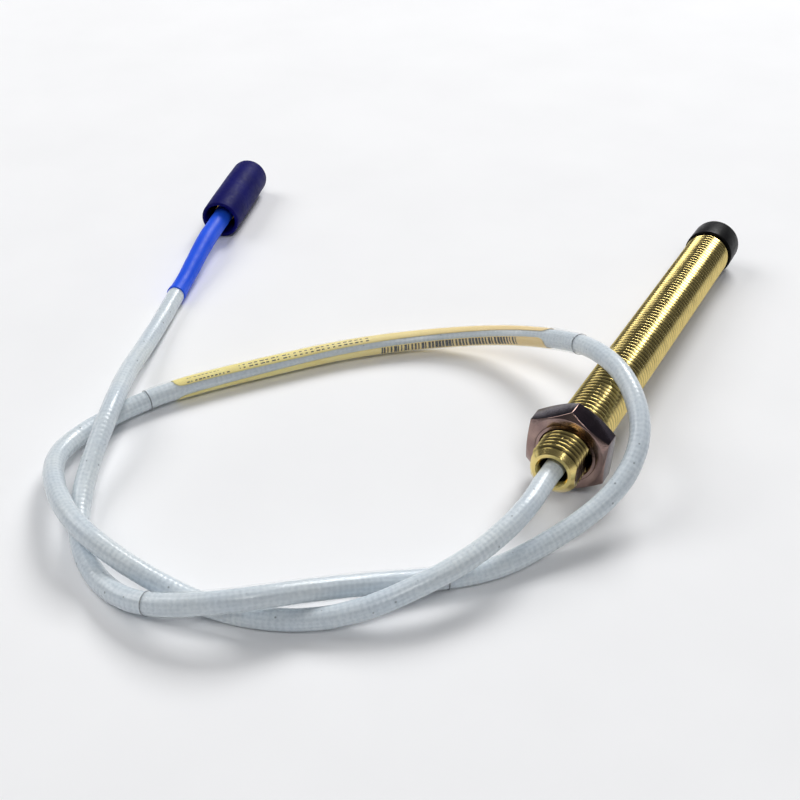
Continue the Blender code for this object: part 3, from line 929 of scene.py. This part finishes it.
def makeTipCap():
    a, e, r = tipCap["at"], tipCap["at"] + tipCap["length"], tipCap["radius"]
    out, tipRadius = tipCap["tip"]
    inner = tipRadius + tipCap["clear"]
    floor = case["length"] + out + tipCap["clear"]
    flareDeep, flareOut = tipCap["flare"]
    inside, lip, outside = tipCap["mouthRounds"]
    outline = [
        (floor, 0),
        (floor, inner, tipCap["floorRound"]),
        (a + flareDeep, inner, inside),
        (a, inner + flareOut, lip),
        (a, r, outside),
        (e, r - tipCap["draft"], tipCap["endRound"]),
        (e + 0.01, 0),
    ]
    mesh = meshOf(spunShape(outline, tipCap["steps"]), "tipCap", probePlace)
    finish = vinylFinish("blackDippedVinyl", "#030304", "#060608", 0.38)
    piece("tip_dust_cap", mesh, finish, "tip_cap", "black_vinyl", "tip_cap", sharp=50)


makeTipCap()
print("tip cap ready")


# finishes for what is inside, some of it seen when a cap is off
def insideFinish(name, first, second, metallic, rough, sizeMm=1.5, depth=0.01):
    finish, tree, shader = newFinish(name, {"Metallic": metallic})
    place = objectPlace(tree)
    tone = twoTone(tree, grain(tree, place, sizeMm, 0, 1), first, second)
    tree.links.new(tone, shader.inputs["Base Color"])
    tree.links.new(grain(tree, place, sizeMm / 2, rough - 0.05, rough + 0.08), shader.inputs["Roughness"])
    bump(tree, shader, grain(tree, place, sizeMm / 4, 0, 1), depth)
    return finish


insideFinishes = {
    "tip_plastic": insideFinish("mouldedPps", "#B7A37A", "#A8936B", 0, 0.42),  # satin tan, clouded by its filler
    "white_insulator": insideFinish("turnedPtfe", "#EDEDE8", "#E2E2DC", 0, 0.38),  # waxy white
    "copper_wire": insideFinish("enamelledCopper", "#C96F45", "#B45C35", 1, 0.3, 0.4),  # glossy red brown
    "potting_resin": insideFinish("castEpoxy", "#1B1718", "#262122", 0, 0.3),  # glossy near-black
    "braid_steel": insideFinish("drawnSteelWire", "#B9BBBF", "#8E9196", 1, 0.3, 0.35, 0.03),  # bright and broken up
    "nut_steel": insideFinish("crimpedSteel", "#A9A7A6", "#8F8D8C", 1, 0.3),  # smooth grey
    "gold_plate": insideFinish("goldPlatedPlugBrass", "#E5BE6B", "#CFA350", 1, 0.22),  # warm and smooth
    "cable_jacket": cableObject.data.materials[0],
}
slotOf = {row["node"]: row["material_slot"] for row in frame["record"]["subparts"]}
for name, obj in nodes.items():
    if not obj.hide_render:
        obj.data.materials.clear()
        obj.data.materials.append(insideFinishes[slotOf[name]])
print("inner pieces ready")


# a pale round floor, lit softly from above and from beyond
studio = {"sky": 0.13, "horizon": 0.85, "fade": (0.03, 0.16), "reach": 1.1, "middle": (-0.02, 0.04, 0), "steps": 96}
lamps = {  # the way to it, how far off it is, its width and height, its power
    "lineBox": ((0.72, 0.07, 0.66), 1.7, (0.7, 0.7), 20.5),
    "keyBox": ((-0.1, 0.7, 0.7), 1.7, (0.9, 0.9), 9.5),
    "frontBox": ((-0.45, -0.35, 0.82), 1.7, (0.5, 0.5), 6.5),
}


def makeStudio():
    bm = bmesh.new()
    bmesh.ops.create_circle(bm, cap_ends=True, segments=studio["steps"], radius=studio["reach"])
    mesh = meshOf(bm, "floor", Matrix())
    finish, tree, shader = newFinish("mattStudioPaper", {"Roughness": 0.8, "Specular IOR Level": 0.1})
    tone = twoTone(tree, grain(tree, objectPlace(tree), 30, 0, 1), "#F6F6F7", "#F3F3F4")
    tree.links.new(tone, shader.inputs["Base Color"])
    mesh.materials.append(finish)
    floor = bpy.data.objects.new("studioFloor", mesh)
    collection.objects.link(floor)
    world = bpy.data.worlds.new("studioSky")
    world.use_nodes = True
    bpy.context.scene.world = world
    sky = world.node_tree
    backdrop = sky.nodes["Background"]
    backdrop.inputs["Color"].default_value = linear("#F2F5FA")
    height = addNode(sky, "SeparateXYZ", {0: addNode(sky, "TexCoord").outputs["Generated"]}).outputs[2]
    glow = spread(sky, height, *studio["fade"], studio["horizon"], studio["sky"])  # pale low down, dim above
    sky.links.new(glow, backdrop.inputs["Strength"])
    middle = Vector(studio["middle"])
    for name, (way, far, size, power) in lamps.items():
        data = bpy.data.lights.new(name, "AREA")
        data.shape = "RECTANGLE"
        data.size, data.size_y = size
        data.energy = power
        lamp = bpy.data.objects.new(name, data)
        way = Vector(way).normalized()
        lamp.location = middle + way * far
        lamp.rotation_euler = way.to_track_quat("Z", "Y").to_euler()
        collection.objects.link(lamp)


makeStudio()
print("studio ready")
